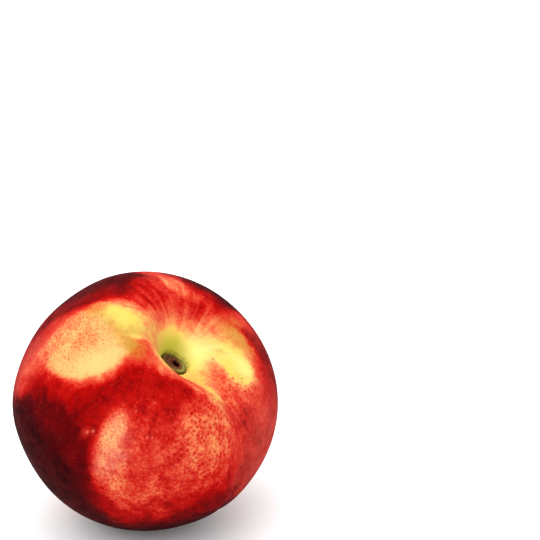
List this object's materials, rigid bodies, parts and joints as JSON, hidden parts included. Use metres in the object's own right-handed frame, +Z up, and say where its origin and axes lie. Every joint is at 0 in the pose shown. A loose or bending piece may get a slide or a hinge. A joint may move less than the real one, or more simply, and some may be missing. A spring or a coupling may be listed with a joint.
{
  "type": "nectarine",
  "caption": "Whole ripe nectarine with a seam, a deep stem hollow and a snapped stalk stub, lying on a small flat spot.",
  "frame": {"origin": "middle of the small flat spot that the fruit rests on", "axes": "+Z up; the stem axis leans 41 degrees from +Z towards +X and -Y, so the stem hollow and the seam show from the -Y side"},
  "size_m": [0.0707, 0.0719, 0.0689],
  "materials": {
    "skin": "satin",
    "dry_stalk": "matte"
  },
  "bodies": {
    "root": {"fruit": "skin", "stalk_stub": "dry_stalk"}
  },
  "joints": []
}
